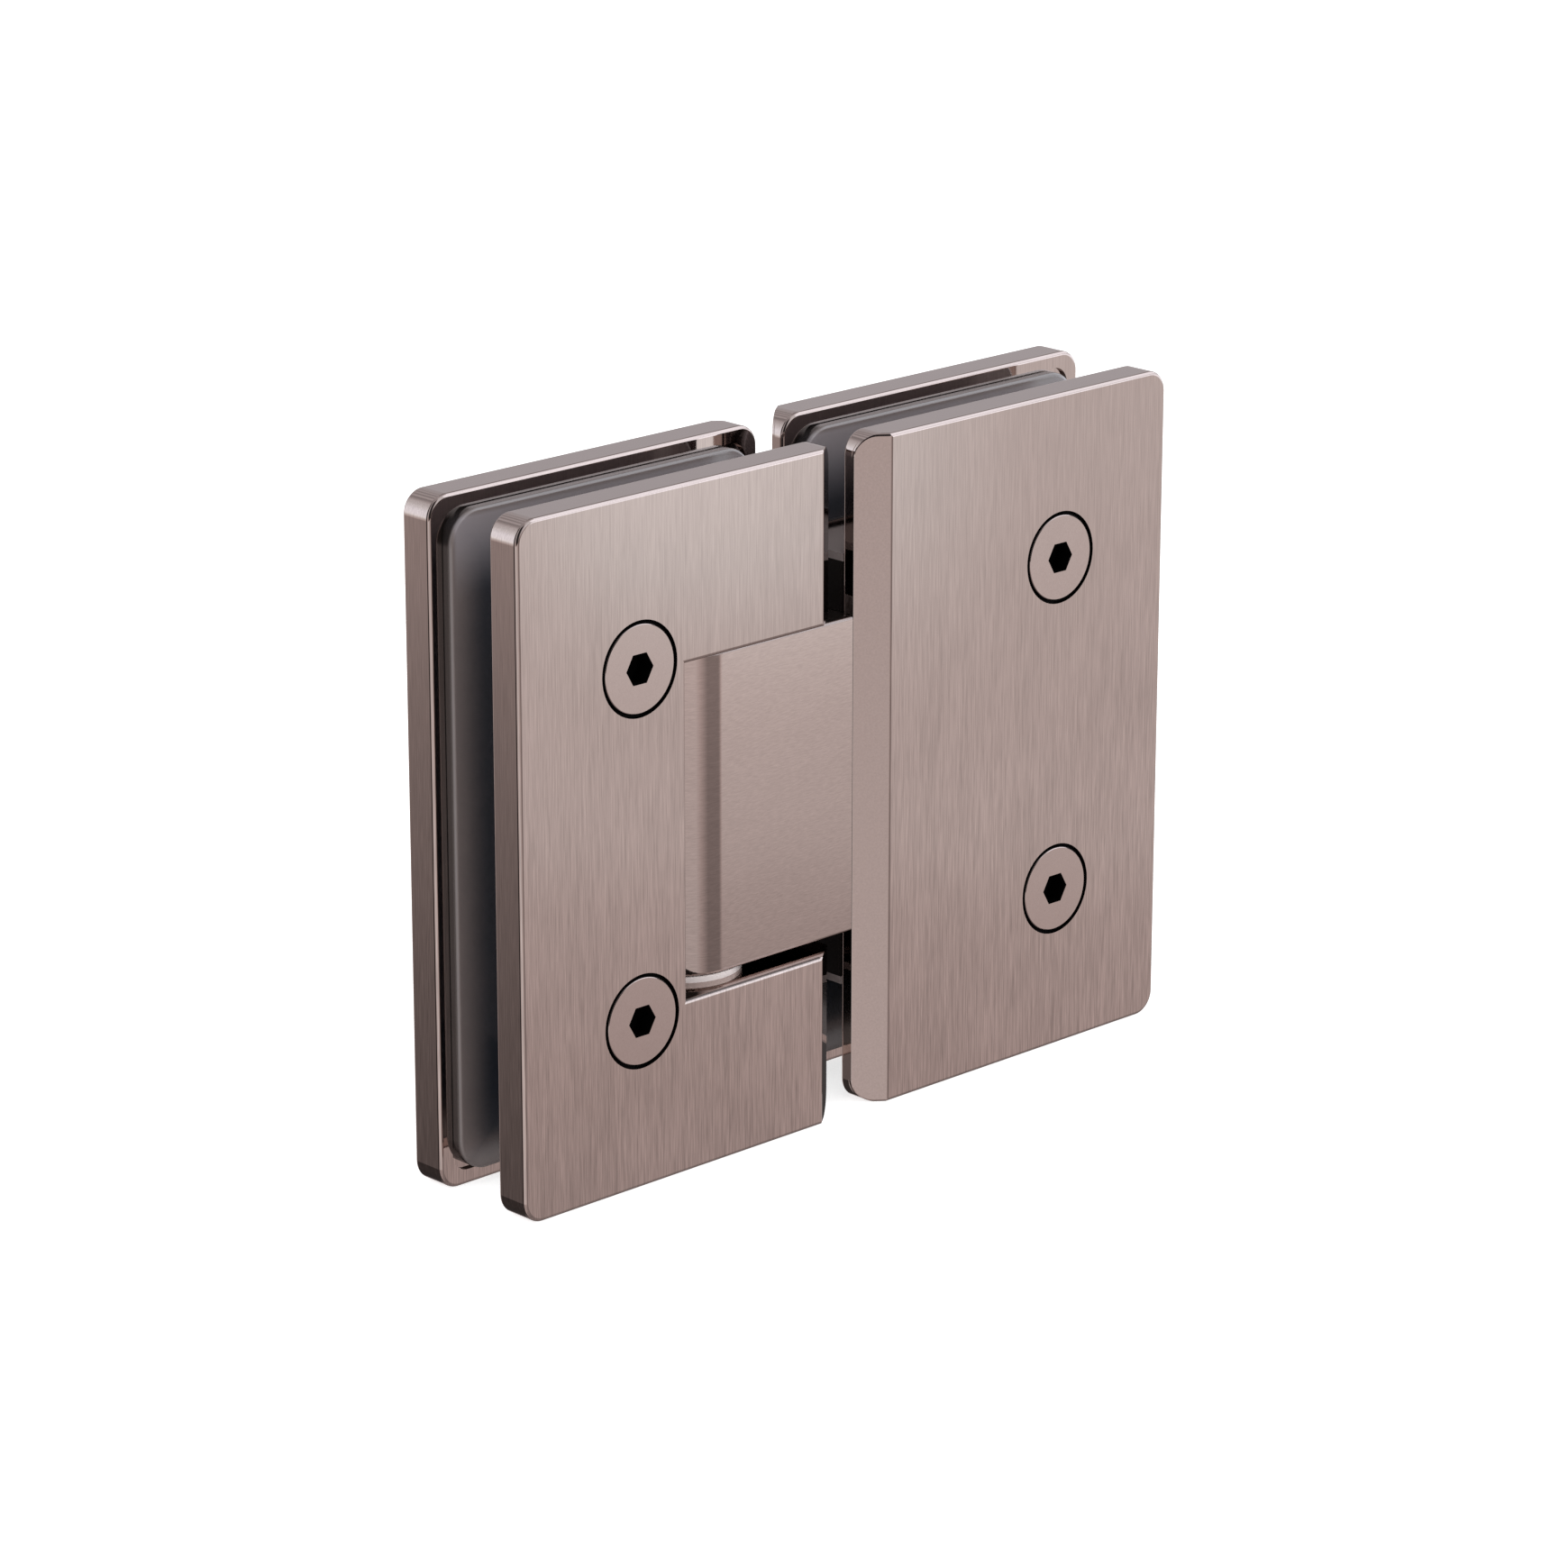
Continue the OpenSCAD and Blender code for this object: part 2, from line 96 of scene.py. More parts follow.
# The strip of painted shade behind the edge of the notch's floor, which is also made rougher:
# where it starts, is full, starts to fade and ends, upwards, along the plate, and outwards from the
# middle of the glass
SHADE_STRIP_UP = (-NOTCH_HALF - PLATE_ROUND, -NOTCH_HALF - 0.9 * PLATE_ROUND,
           -NOTCH_HALF - 0.03 * MM, -NOTCH_HALF - 0.01 * MM)
SHADE_STRIP_ALONG = (-NOTCH_REACH, 0.1 * MM - NOTCH_REACH, -BEVEL_END - 0.3 * MM, -BEVEL_END)
SHADE_STRIP_OUT = (FACE - 1.1 * PLATE_ROUND, FACE - PLATE_ROUND, FACE - 0.14 * MM, FACE - 0.05 * MM)

# Finish of each metal: colour, contrast of its marks, roughness, relief in mm, and its
# grain's sizes in mm along x, y and z, for fine marks, broad marks and clouds
Metal = namedtuple("Metal", "colour contrast roughness relief grain")
NICKEL = (0.43, 0.345, 0.315)
TURNED_GRAIN = [(0.1, 1.5, 1.5), (0.5, 3, 3), (3, 3, 3)]
PLATE = Metal(NICKEL, 1.3, 0.035, 0.0004, [(0.12, 0.12, 5), (0.7, 0.7, 18), (9, 9, 16)])
PIVOT = Metal(NICKEL, 0.6, 0.05, 0.0004, [(1.1, 1.1, 0.16), (5, 5, 0.6), (12, 12, 5)])
SCREW = Metal((0.445, 0.355, 0.325), 0.22, 0.10, 0.0006,
              [(0.2, 0.2, 0.3), (0.8, 0.8, 1.6), (4, 4, 4)])
# The core's colour is the nickel's at 0.3: painted shade on the frame, which only the gap and the
# notch show
CORE_IN_SHADE = Metal((0.129, 0.1035, 0.0945), 0.4, 0.12, 0.0008,
             [(0.5, 0.5, 0.5), (2, 2, 2), (8, 8, 8)])
STEEL = Metal((0.60, 0.60, 0.60), 0.3, 0.3, 0.002, TURNED_GRAIN)
BRASS = Metal((0.78, 0.58, 0.28), 0.3, 0.3, 0.002, TURNED_GRAIN)

# How much each kind of mark counts in the tone, and how the tone and roughness vary
FINE_SHARE = 1.2
BROAD_SHARE = 0.15
CLOUD_SHARE = 0.2
TONE_SPREAD = 0.28
MEAN_HEIGHT = 0.75
GRAIN_ROUGHNESS = 0.05
LEAST_ROUGHNESS = 0.02
PLATE_FALL = 0.6
# Painted shade that darkens the neck downwards, by this much of tone per NECK_SPAN
NECK_SHADE_FALL = 0.2
MOTTLE_SIZE = 0.28
MOTTLE_TONE = 0.45
MOTTLE_HEIGHT = 0.4

# Painted shade in the depths, and some on edges that are also made rougher
SHADE = (0.006, 0.005, 0.005)
SHADE_ROUGHNESS = 0.6
DEEP_SHADE = 0.95
NOTCH_EDGE_SHADE = 0.7
NECK_EDGE_SHADE = 0.4

# Finish of each plastic: colour, roughness and contrast of its mottle
Plastic = namedtuple("Plastic", "colour roughness mottle")
LINER = Plastic((0.235, 0.195, 0.19), 0.35, 0.5)
NYLON = Plastic((0.99, 0.905, 0.89), 0.45, 0.2)
PLASTIC_GRAIN = 0.1
PLASTIC_CLOUD = 3.0
PLASTIC_RELIEF = 0.003 * MM

# Finish of the pads, with painted light near the rim and top and painted shade elsewhere and down
# the wall, and
# the distances over which it changes: from the rim, down from the top, and outwards from the middle
# of the glass
PAD_LIGHT = (0.205, 0.168, 0.162)
PAD_DARK = (0.028, 0.032, 0.042)
PAD_TOP = (0.33, 0.30, 0.32)
PAD_GRAIN = 0.12
PAD_CLOUD = 5.0
PAD_RELIEF = 0.0008 * MM
PAD_RIM_RUN = (0.3 * MM, 1.1 * MM)
PAD_LIGHT_RUN = (0.0, 6.0 * MM)
PAD_TOP_RUN = (12.0 * MM, 2.0 * MM)
PAD_WALL_RUN = (3.9 * MM, 4.7 * MM)
PAD_TOP_SHARE = 0.75

# Starts of the noises, so that no two follow each other
BROAD_SHIFT = (3.1, 1.7, 5.3)
CLOUD_SHIFT = (7.9, 4.1, 2.3)
GRAIN_SHIFT = (2.7, 6.1, 3.3)


# Shader maths
class Value:
    """A socket in a node tree. Operators on it add Math nodes."""

    def __init__(self, shader, socket):
        self.shader = shader
        self.socket = socket

    def __add__(self, other):
        return self.shader.math("ADD", self, other)

    def __radd__(self, other):
        return self.shader.math("ADD", other, self)

    def __sub__(self, other):
        return self.shader.math("SUBTRACT", self, other)

    def __rsub__(self, other):
        return self.shader.math("SUBTRACT", other, self)

    def __mul__(self, other):
        return self.shader.math("MULTIPLY", self, other)

    def __rmul__(self, other):
        return self.shader.math("MULTIPLY", other, self)

    def clamped(self, low=0.0, high=1.0):
        """The value, but no less than low and no more than high."""
        return self.shader.math("MINIMUM", self.shader.math("MAXIMUM", self, low), high)


class Shader:
    """A node tree that is filled one node at a time."""

    def __init__(self, tree):
        self.tree = tree
        tree.nodes.clear()

    def node(self, kind, settings=None, inputs=None, output=0):
        """Adds a node, sets it, fills its sockets and gives back one output."""
        node = self.tree.nodes.new(kind)
        for name, value in (settings or {}).items():
            if name == "stops":
                ramp = node.color_ramp
                while len(ramp.elements) < len(value):
                    ramp.elements.new(0.5)
                for element, (place, level) in zip(ramp.elements, value):
                    element.position = place
                    element.color = (level, level, level, 1)
            else:
                setattr(node, name, value)
        for name, value in (inputs or {}).items():
            if isinstance(value, Value):
                self.tree.links.new(value.socket, node.inputs[name])
            else:
                node.inputs[name].default_value = value
        return Value(self, node.outputs[output]) if node.outputs else None

    def math(self, operation, *values):
        """Math node on numbers or values."""
        return self.node("ShaderNodeMath", {"operation": operation}, dict(enumerate(values)))

    def vector_math(self, operation, *values, output=0):
        """Vector Math node. A length or distance is its output 1."""
        settings = {"operation": operation}
        return self.node("ShaderNodeVectorMath", settings, dict(enumerate(values)), output)


def rgba(colour):
    """Opaque colour for a socket."""
    return (*colour, 1.0)


def scaled(colour, factor):
    """Colour made lighter or darker by a factor."""
    return tuple(factor * channel for channel in colour)


def mix_colour(shader, factor, first, second):
    """Colour that goes from first to second as factor goes from 0 to 1."""
    ends = [end if isinstance(end, Value) else rgba(end) for end in (first, second)]
    sockets = {0: factor, 6: ends[0], 7: ends[1]}
    return shader.node("ShaderNodeMix", {"data_type": "RGBA"}, sockets, output=2)


def object_place(shader):
    """Object coordinates, which are the same for every piece of the hinge."""
    return shader.node("ShaderNodeTexCoord", output="Object")


def mirrored_place(shader):
    """Object coordinates without their signs, because both leaves and both halves are alike."""
    return shader.vector_math("ABSOLUTE", object_place(shader))


def axes_of(shader, vector):
    """The three parts of a vector."""
    first = shader.node("ShaderNodeSeparateXYZ", None, {"Vector": vector})
    return [Value(shader, socket) for socket in first.socket.node.outputs]


def noise(shader, size, detail=2.0, roughness=0.5, shift=(0, 0, 0)):
    """Noise on Object coordinates whose features measure size, in mm, along each axis."""
    pattern = shader.node("ShaderNodeMapping", {"vector_type": "POINT"}, {
        "Vector": object_place(shader),
        "Location": shift,
        "Scale": [1 / (length * MM) for length in size],
    })
    return shader.node("ShaderNodeTexNoise", None, {
        "Vector": pattern,
        "Scale": 1.0,
        "Detail": detail,
        "Roughness": roughness,
    })


def linear_step(shader, value, low, high):
    """0 below low, 1 above high and a straight line between them."""
    sockets = {"Value": value, "From Min": low, "From Max": high}
    return shader.node("ShaderNodeMapRange", None, sockets)


def smooth_step(shader, value, low, high):
    """0 below low, 1 above high and a smooth run between them."""
    sockets = {"Value": value, "From Min": low, "From Max": high}
    return shader.node("ShaderNodeMapRange", {"interpolation_type": "SMOOTHSTEP"}, sockets)


def between(shader, value, start, full, fading, end):
    """0 below start, 1 from full to fading, 0 above end, and straight lines between them."""
    rising = linear_step(shader, value, start, full)
    return rising * (1 - linear_step(shader, value, fading, end))


def bumped(shader, height, distance):
    """Normal of a surface with a relief of distance in metres."""
    return shader.node("ShaderNodeBump", None, {"Height": height, "Distance": distance})


def new_material(name):
    """Material with an empty node tree."""
    material = bpy.data.materials.new(name)
    material.use_nodes = True
    return material, Shader(material.node_tree)


def finish_surface(shader, inputs):
    """Ends a material in one Principled surface."""
    surface = shader.node("ShaderNodeBsdfPrincipled", None, inputs)
    shader.node("ShaderNodeOutputMaterial", None, {"Surface": surface})


# Masks
def sunk_near_screws(shader):
    """1 below the plates' outer faces in the grooves and sockets of the clamping screws, where
    painted shade goes.

    It is the product of a step at the groove's outer radius about the screw's axis and
    one just under the face.
    """
    low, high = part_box("fixed_screw_upper")
    axis = ((low.x + high.x) / 2, 0, (low.z + high.z) / 2)
    place = mirrored_place(shader)
    flat = shader.vector_math("MULTIPLY", place, (1, 0, 1))
    reach = shader.vector_math("DISTANCE", flat, axis, output=1)
    out = axes_of(shader, place)[1]
    near = 1 - linear_step(shader, reach, *GROOVE_RIM)
    return near * (1 - linear_step(shader, out, *SUNK))


def shade_behind_notch_edge(shader):
    """1 on the rear part of the roundings along the notch's floor, before its flat, where painted
    shade goes.

    It is the product of a band upwards, one along the plate and one outwards.
    """
    along, _, up = axes_of(shader, object_place(shader))
    out = axes_of(shader, mirrored_place(shader))[1]
    strip = between(shader, up, *SHADE_STRIP_UP) * between(shader, along, *SHADE_STRIP_ALONG)
    return strip * between(shader, out, *SHADE_STRIP_OUT)


# Materials
def grained_tone(shader, grain, contrast):
    """Tone about a half from fine, broad and cloudy noise, and the bump's height.

    The tone is 0.5 + contrast * the weighted sum of the noises about their means, and
    the height is fine + half of broad. contrast is a number, or a value that changes
    over the surface.
    """
    fine = noise(shader, grain[0], roughness=0.6)
    broad = noise(shader, grain[1], shift=BROAD_SHIFT)
    cloud = noise(shader, grain[2], shift=CLOUD_SHIFT)
    marks = FINE_SHARE * (fine - 0.5) + BROAD_SHARE * (broad - 0.5) + CLOUD_SHARE * (cloud - 0.5)
    return 0.5 + contrast * marks, fine + 0.5 * broad


def plated_metal(shader, metal, tone, height, shade=None):
    """Metal whose colour follows its tone, and its roughness and relief their height.

    shade is 1 where painted shade stands in for deep shadow, and less on edges that get some
    painted shade and are made rougher.
    """
    dark, light = scaled(metal.colour, 1 - TONE_SPREAD), scaled(metal.colour, 1 + TONE_SPREAD)
    colour = mix_colour(shader, tone.clamped(), dark, light)
    rough = metal.roughness + GRAIN_ROUGHNESS * (height - MEAN_HEIGHT)
    if shade is not None:
        colour = mix_colour(shader, shade, colour, SHADE)
        rough = rough + SHADE_ROUGHNESS * shade
    finish_surface(shader, {
        "Base Color": colour,
        "Metallic": 1.0,
        "Roughness": rough.clamped(LEAST_ROUGHNESS, 1.0),
        "Normal": bumped(shader, height, metal.relief * MM),
    })


def plate_metal():
    """Upright brush marks that show more downwards, and a fine mottle on the wide bevels.

    The back of the rounding along the notch's floor gets painted shade and is made rougher, and the
    screws' grooves and sockets get painted shade.
    """
    material, shader = new_material("plate_nickel")
    up = axes_of(shader, object_place(shader))[2]
    along = axes_of(shader, mirrored_place(shader))[0]
    contrast = PLATE.contrast - up * (PLATE_FALL / PLATE_HALF)
    tone, height = grained_tone(shader, PLATE.grain, contrast)
    mottle = noise(shader, [MOTTLE_SIZE] * 3, detail=3.0, roughness=0.6) - 0.5
    near_gap = 1 - linear_step(shader, along, *BEVEL_LINE)
    tone = tone + near_gap * (0.5 + MOTTLE_TONE * mottle - tone)
    height = height + near_gap * (MEAN_HEIGHT + MOTTLE_HEIGHT * mottle - height)
    # Painted shade in the screws' grooves and sockets, and behind the notch's edge
    shade = (sunk_near_screws(shader) + NOTCH_EDGE_SHADE * shade_behind_notch_edge(shader)).clamped()
    plated_metal(shader, PLATE, tone, height, shade)
    return material


def pivot_metal():
    """Fine marks round the barrel and along the neck, and painted shade that makes it a little
    darker downwards.

    Painted shade makes the core behind the gap dark, and the neck's upper edge gets some painted
    shade and is made rougher.
    """
    material, shader = new_material("pivot_nickel")
    along, _, up = axes_of(shader, object_place(shader))
    tone, height = grained_tone(shader, PIVOT.grain, PIVOT.contrast)
    # Painted shade: darker downwards along the neck
    tone = tone + up * (NECK_SHADE_FALL / NECK_SPAN)
    # Painted shade on the core behind the gap, and some on the neck's upper edge, which is also
    # made rougher
    hidden = linear_step(shader, along, *GAP_WALL)
    edge_shade = (1 - hidden) * smooth_step(shader, up, *NECK_EDGE)
    plated_metal(shader, PIVOT, tone, height, DEEP_SHADE * hidden + NECK_EDGE_SHADE * edge_shade)
    return material


def screw_metal():
    """Satin plating with only a faint mottle, and painted shade that makes the depths of the
    sockets black.
    """
    material, shader = new_material("screw_nickel")
    tone, height = grained_tone(shader, SCREW.grain, SCREW.contrast)
    plated_metal(shader, SCREW, tone, height, sunk_near_screws(shader))
    return material


def plain_metal(name, metal):
    """Cast, ground or turned metal with nothing but its grain; the core's dark colour is painted
    shade.
    """
    material, shader = new_material(name)
    tone, height = grained_tone(shader, metal.grain, metal.contrast)
    plated_metal(shader, metal, tone, height)
    return material


def soft_plastic(name, plastic):
    """Moulded plastic with a faint mottle and a fine moulded grain.

    The tone is 0.5 + mottle * the cloud about its mean, and 0.3 of that for the grain.
    """
    material, shader = new_material(name)
    cloud = noise(shader, [PLASTIC_CLOUD] * 3) - 0.5
    grain = noise(shader, [PLASTIC_GRAIN] * 3, shift=GRAIN_SHIFT)
    tone = 0.5 + plastic.mottle * cloud + 0.3 * plastic.mottle * (grain - 0.5)
    dark, light = scaled(plastic.colour, 0.9), scaled(plastic.colour, 1.05)
    finish_surface(shader, {
        "Base Color": mix_colour(shader, tone.clamped(), dark, light),
        "Roughness": (plastic.roughness + 0.12 * cloud).clamped(),
        "Normal": bumped(shader, grain, PLASTIC_RELIEF),
    })
    return material


def pad_rubber():
    """Glossy grey pad, with painted light that makes it lighter and warmer towards its rim and top,
    and painted shade that makes it dark away from the rim and down its wall.

    The distance to the rim is the smaller one of those to the outer end and to the top
    or bottom, and the wall's depth goes by the distance from the middle of the glass.
    """
    material, shader = new_material("pad_rubber")
    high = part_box("fixed_front_gasket")[1]
    along, out, up_or_down = axes_of(shader, mirrored_place(shader))
    up = axes_of(shader, object_place(shader))[2]
    from_rim = shader.math("MINIMUM", high.x - along, high.z - up_or_down)
    # Painted light near the rim and painted shade away from it
    light = 1 - smooth_step(shader, from_rim, *PAD_LIGHT_RUN)
    on_face = smooth_step(shader, from_rim, *PAD_RIM_RUN)
    # Painted light towards the top
    near_top = smooth_step(shader, up, high.z - PAD_TOP_RUN[0], high.z - PAD_TOP_RUN[1])
    # Painted shade down the wall
    wall = smooth_step(shader, out, *PAD_WALL_RUN)
    cloud = noise(shader, [PAD_CLOUD] * 3, detail=3.0) - 0.5
    grain = noise(shader, [PAD_GRAIN] * 3, shift=GRAIN_SHIFT)
    tone = light + 0.15 * cloud + 0.08 * (grain - 0.5)
    rubber = mix_colour(shader, tone.clamped(), PAD_DARK, PAD_LIGHT)
    rubber = mix_colour(shader, PAD_TOP_SHARE * on_face * near_top, rubber, PAD_TOP)
    finish_surface(shader, {
        "Base Color": mix_colour(shader, DEEP_SHADE * wall, rubber, SHADE),
        "Roughness": (0.2 + 0.1 * cloud).clamped(),
        "Specular IOR Level": 0.7,
        "Coat Weight": 0.3,
        "Coat Roughness": 0.12,
        "Normal": bumped(shader, grain, PAD_RELIEF),
    })
    return material


def dress_nodes():
    """Gives every CAD node its finish, from the record's material slots."""
    finishes = {
        "brushed_nickel": plate_metal(),
        "screw_metal": screw_metal(),
        "bright_steel": plain_metal("ground_steel", STEEL),
        "plunger_brass": plain_metal("turned_brass", BRASS),
        "liner": soft_plastic("grey_liner", LINER),
        "nylon": soft_plastic("white_nylon", NYLON),
        "gasket": pad_rubber(),
    }
    # The door frame's core has painted shade in its colour
    own_finishes = {"pivot_body": pivot_metal(), "door_frame": plain_metal("shaded_core_nickel", CORE_IN_SHADE)}
    for part in frame["record"]["subparts"]:
        node = frame["nodes"][part["node"]]
        finish = own_finishes.get(part["node"], finishes[part["material_slot"]])
        node.data.materials.clear()
        node.data.materials.append(finish)
    return finishes


def add_object(data):
    """New object for a mesh, lamp or camera, with the same name."""
    made = bpy.data.objects.new(data.name, data)
    bpy.context.scene.collection.objects.link(made)
    return made


# Pads
PAD_CORNER = 4.5 * MM
PAD_INNER_CORNER = 1.5 * MM
PAD_EDGE = 0.5 * MM
PAD_RIM = 0.6 * MM
LINER_GAP = 1.0 * MM
ARC_STEPS = 12
EDGE_STEPS = 8
WELD = 0.001 * MM
SHARP_ANGLE = 35


def round_outline(corners, radii):
    """Closed outline through corners, each turned into an arc of its radius.

    An arc starts and ends at radius * tan(half the turn) from its corner, and its
    points are centre + radius * (cos, sin) of evenly spaced angles. Gives back the
    points and their outward unit normals, for corners in counter-clockwise order.
    """
    corners = np.array(corners, float)
    points, normals = [], []
    for corner, before, after, radius in zip(
        corners, np.roll(corners, 1, axis=0), np.roll(corners, -1, axis=0), radii
    ):
        arriving = (corner - before) / np.linalg.norm(corner - before)
        leaving = (after - corner) / np.linalg.norm(after - corner)
        cross = arriving[0] * leaving[1] - arriving[1] * leaving[0]
        side = np.sign(cross)
        turn = np.arctan2(abs(cross), arriving @ leaving)
        inward = np.array([-arriving[1], arriving[0]]) * side
        centre = corner - arriving * radius * np.tan(turn / 2) + inward * radius
        start = np.arctan2(-inward[1], -inward[0])
        angles = start + side * np.linspace(0, turn, ARC_STEPS + 1)
        spokes = np.stack([np.cos(angles), np.sin(angles)], axis=1)
        points.append(centre + radius * spokes)
        normals.append(side * spokes)
    return np.concatenate(points), np.concatenate(normals)


def pad_mesh(name, corners, radii, back, front):
    """Flat pad with a rounded rim, from its outline in x and z.

    Ring k is the outline moved inwards by inset[k], at depth back + (front - back) *
    rise[k]. The insets and rises follow a wall, then a quarter circle of radius
    PAD_EDGE, then a flat rim, and a face closes each end.
    """
    outline, outward = round_outline(corners, radii)
    depth = abs(front - back)
    angles = np.linspace(0, np.pi / 2, EDGE_STEPS + 1)
    inset = np.concatenate([[0], PAD_EDGE * (1 - np.cos(angles)), [PAD_EDGE + PAD_RIM]])
    rise = np.concatenate([[0], depth - PAD_EDGE + PAD_EDGE * np.sin(angles), [depth]]) / depth
    flat = outline[None] - inset[:, None, None] * outward[None]
    y = np.broadcast_to((back + (front - back) * rise)[:, None], flat.shape[:2])
    grid = np.stack([flat[..., 0], y, flat[..., 1]], axis=-1)
    rings, count = grid.shape[:2]
    index = np.arange(rings * count).reshape(rings, count)
    beside = np.roll(index, -1, axis=1)
    walls = np.stack([index[:-1], beside[:-1], beside[1:], index[1:]], axis=-1).reshape(-1, 4)
    faces = walls.tolist() + [index[0].tolist(), index[-1].tolist()]
    mesh = bpy.data.meshes.new(name)
    mesh.from_pydata(grid.reshape(-1, 3), [], faces)
    return mesh


def tidy_mesh(mesh):
    """Merges doubles, turns every face outwards and shades what is round smoothly."""
    work = bmesh.new()
    work.from_mesh(mesh)
    bmesh.ops.remove_doubles(work, verts=work.verts, dist=WELD)
    bmesh.ops.recalc_face_normals(work, faces=work.faces)
    work.to_mesh(mesh)
    work.free()
    mesh.shade_smooth()
    mesh.set_sharp_from_angle(angle=radians(SHARP_ANGLE))
    mesh.update()


def add_pad(leaf, side, finish):
    """C-shaped pad of a leaf that fills the place of its CAD gasket.

    The window's edges lie LINER_GAP outside the edge liner, and the pad's proud face
    looks at the glass, so it is the one nearer to y = 0.
    """
    node = f"{leaf}_{side}_gasket"
    low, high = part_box(node)
    liner_low, liner_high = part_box(f"{leaf}_edge_liner")
    bottom, top = liner_low.z - LINER_GAP, liner_high.z + LINER_GAP
    if leaf == "fixed":
        inner, outer, window = low.x, high.x, liner_high.x + LINER_GAP
    else:
        inner, outer, window = high.x, low.x, liner_low.x - LINER_GAP
    corners = [
        (inner, low.z), (outer, low.z), (outer, high.z), (inner, high.z),
        (inner, top), (window, top), (window, bottom), (inner, bottom),
    ]
    radii = [PAD_CORNER] * 4 + [PAD_INNER_CORNER] * 4
    if leaf == "door":
        corners, radii = corners[::-1], radii[::-1]
    back, front = (low.y, high.y) if side == "front" else (high.y, low.y)
    mesh = pad_mesh(f"{leaf}_{side}_pad", corners, radii, back, front)
    tidy_mesh(mesh)
    mesh.materials.append(finish)
    pad = add_object(mesh)
    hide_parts(node)
    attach(pad, f"{leaf}_leaf")


# Studio: light that falls on the hinge
FLOOR_SIZE = 12.0
FLOOR_COLOUR = (0.80, 0.80, 0.80)
SEEN_WHITE = 0.72
AMBIENT = 0.29
GLOW = 1.3
GLOW_SIDE = (-0.80, -0.30, 0.52)
KEY_SIDE = (0.64, -0.30, 0.70)
KEY_DISTANCE = 1.2
KEY_SIZE = (1.1, 0.9)
KEY_LEVEL = 2.0

# Studio: the cards that the metal reflects. Each has its weight by azimuth and its level
# by height, in degrees. Side by side the weights add up to one.
CARDS = {
    "black": ([(139, 0), (145, 1), (168, 1), (180, 0)],
              [(-90, 0.02), (55, 0.02), (65, 0.5), (90, 0.6)]),
    "far": ([(-180, 1), (-160, 1), (-150, 0), (168, 0), (180, 1)],
            [(-90, 0.3), (-30, 0.5), (-21, 0.88), (-12, 0.82), (60, 0.7), (90, 0.6)]),
    "side": ([(-160, 0), (-150, 1), (-106, 1), (-82, 0)],
             [(-90, 0.3), (-30, 0.5), (-21, 0.88), (-17, 0.85), (-9, 0.82), (-7.5, 0.04),
              (60, 0.04), (70, 0.6)]),
    "dark": ([(-106, 0), (-82, 1), (-57, 1), (-53.5, 0)],
             [(-90, 0.3), (-8, 0.36), (0, 0.6), (10, 1.2), (50, 1.2), (90, 0.6)]),
    "front": ([(-57, 0), (-53.5, 1), (5, 1), (20, 0)],
              [(-90, 0.36), (-36, 0.36), (-25, 0.50), (-22.5, 0.58), (-21, 0.63), (-19.9, 0.68),
               (-18.7, 0.75), (-18.2, 0.855), (-17.1, 0.84), (-16, 0.875), (-15.2, 0.915),
               (-13.8, 0.98), (-11, 1.03), (-8, 1.3), (-5, 2.1), (7, 2.1), (10, 1.5), (19, 1.5),
               (22, 2.1), (48, 2.1), (60, 0.8), (90, 0.6)]),
    "slit": ([(25, 0), (28, 1), (35, 1), (38, 0)],
             [(-90, 0.05), (-12, 0.06), (0, 0.61), (28, 0.61), (36, 0.42), (60, 0.42), (90, 0.6)]),
    "right": ([(5, 0), (20, 1), (25, 1), (28, 0), (35, 0), (38, 1), (100, 1), (115, 0)],
              [(-90, 0.4), (-56, 0.4), (-50, 0.05), (-39, 0.05), (-35, 0.5), (-22.5, 0.62),
               (-18, 0.78), (-13, 0.95), (-5, 0.95), (2, 0.61), (28, 0.61), (36, 0.42),
               (60, 0.42), (90, 0.6)]),
    "left": ([(100, 0), (115, 1), (139, 1), (145, 0)],
             [(-90, 0.06), (-23.2, 0.06), (-22.4, 0.15), (-21.3, 0.17), (-19.1, 0.25),
              (-16.9, 0.37), (-15.3, 0.50), (-10, 0.6), (-7, 1.0), (-4, 1.75), (12, 1.75),
              (28, 1.15), (38, 0.85), (44, 0.5), (90, 0.6)]),
}
# Light on top of the cards, by azimuth, and the heights between which it comes or goes: a
# glow low down behind the side card, a bright panel and a slow rise in the front one, and
# ruled bands above the right one that the plates' round corners mirror
EDGE_GLOW = [(-158, 0), (-154, 0.28), (-138, 0.28), (-132, 0)]
EDGE_GLOW_GOES = (-8, 0)
PANEL = [(-48.42, 0), (-48.26, 0.32), (-45.6, 0.32), (-44.2, 0)]
PANEL_COMES = (-17.2, -14.4)
LEAN = [(-57, 0), (-50, 0.15), (-42.5, 0)]
LEAN_COMES = (-21, -15)
BANDS = [(52, 0), (56, 0.25), (60, 0), (66, 0.3), (71, 0), (78, 0.35), (84, 0), (94, 0.4), (101, 0)]
BANDS_COME = (26, 34)
# Tint of the cards: warm where they are dim, pale from middling levels on, and cool where
# they are bright or high
WARM = (1.08, 0.97, 0.97)
PALE = (0.975, 1.025, 1.055)
COOL = (0.90, 0.985, 1.09)
PALE_LEVELS = (0.65, 1.2)
COOL_LEVELS = (1.3, 1.9)
COOL_HEIGHTS = (-3, 6)
COOL_BY_HEIGHT = 0.5


def seen_by_camera(shader):
    """1 for what the camera sees, directly or through something clear, and 0 for light."""
    camera, clear = [
        shader.node("ShaderNodeLightPath", output=kind)
        for kind in ("Is Camera Ray", "Is Transmission Ray")
    ]
    return (camera + clear).clamped()


